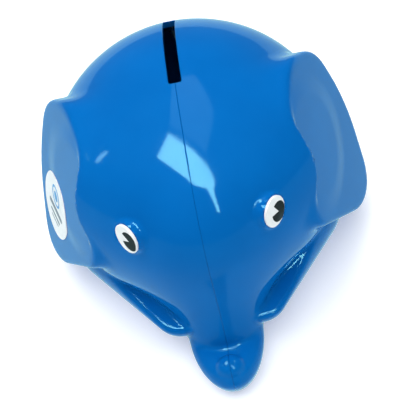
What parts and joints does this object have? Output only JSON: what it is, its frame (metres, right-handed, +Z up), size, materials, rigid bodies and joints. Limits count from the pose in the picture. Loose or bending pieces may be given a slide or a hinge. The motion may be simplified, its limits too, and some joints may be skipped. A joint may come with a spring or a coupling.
{
  "type": "coin bank",
  "caption": "Elephant-shaped plastic coin bank: hollow split body with big flat ears, curled trunk, a coin slot along the back and a pull-out plug in the belly.",
  "frame": {"origin": "centre of the bounding box's underside, on the surface the four feet stand on", "axes": "+Z up, -Y towards the trunk, +X towards the elephant's left side"},
  "size_m": [0.14, 0.1518, 0.1004],
  "materials": {
    "shell_blue": "high-gloss injection-moulded blue",
    "eye_white": "white plastic disc with a printed black pupil",
    "label_paper": "satin white adhesive label",
    "plug_soft": "soft matt blue vinyl"
  },
  "bodies": {
    "bank": {"left_half_shell": "shell_blue", "right_half_shell": "shell_blue", "left_eye": "eye_white", "right_eye": "eye_white", "ear_label": "label_paper"},
    "plug": {"belly_plug": "plug_soft"}
  },
  "joints": [
    {"name": "plug_pull", "type": "slide", "parent": "bank", "child": "plug", "axis": [0, 0, -1], "range_m": [0, 0.015]}
  ]
}
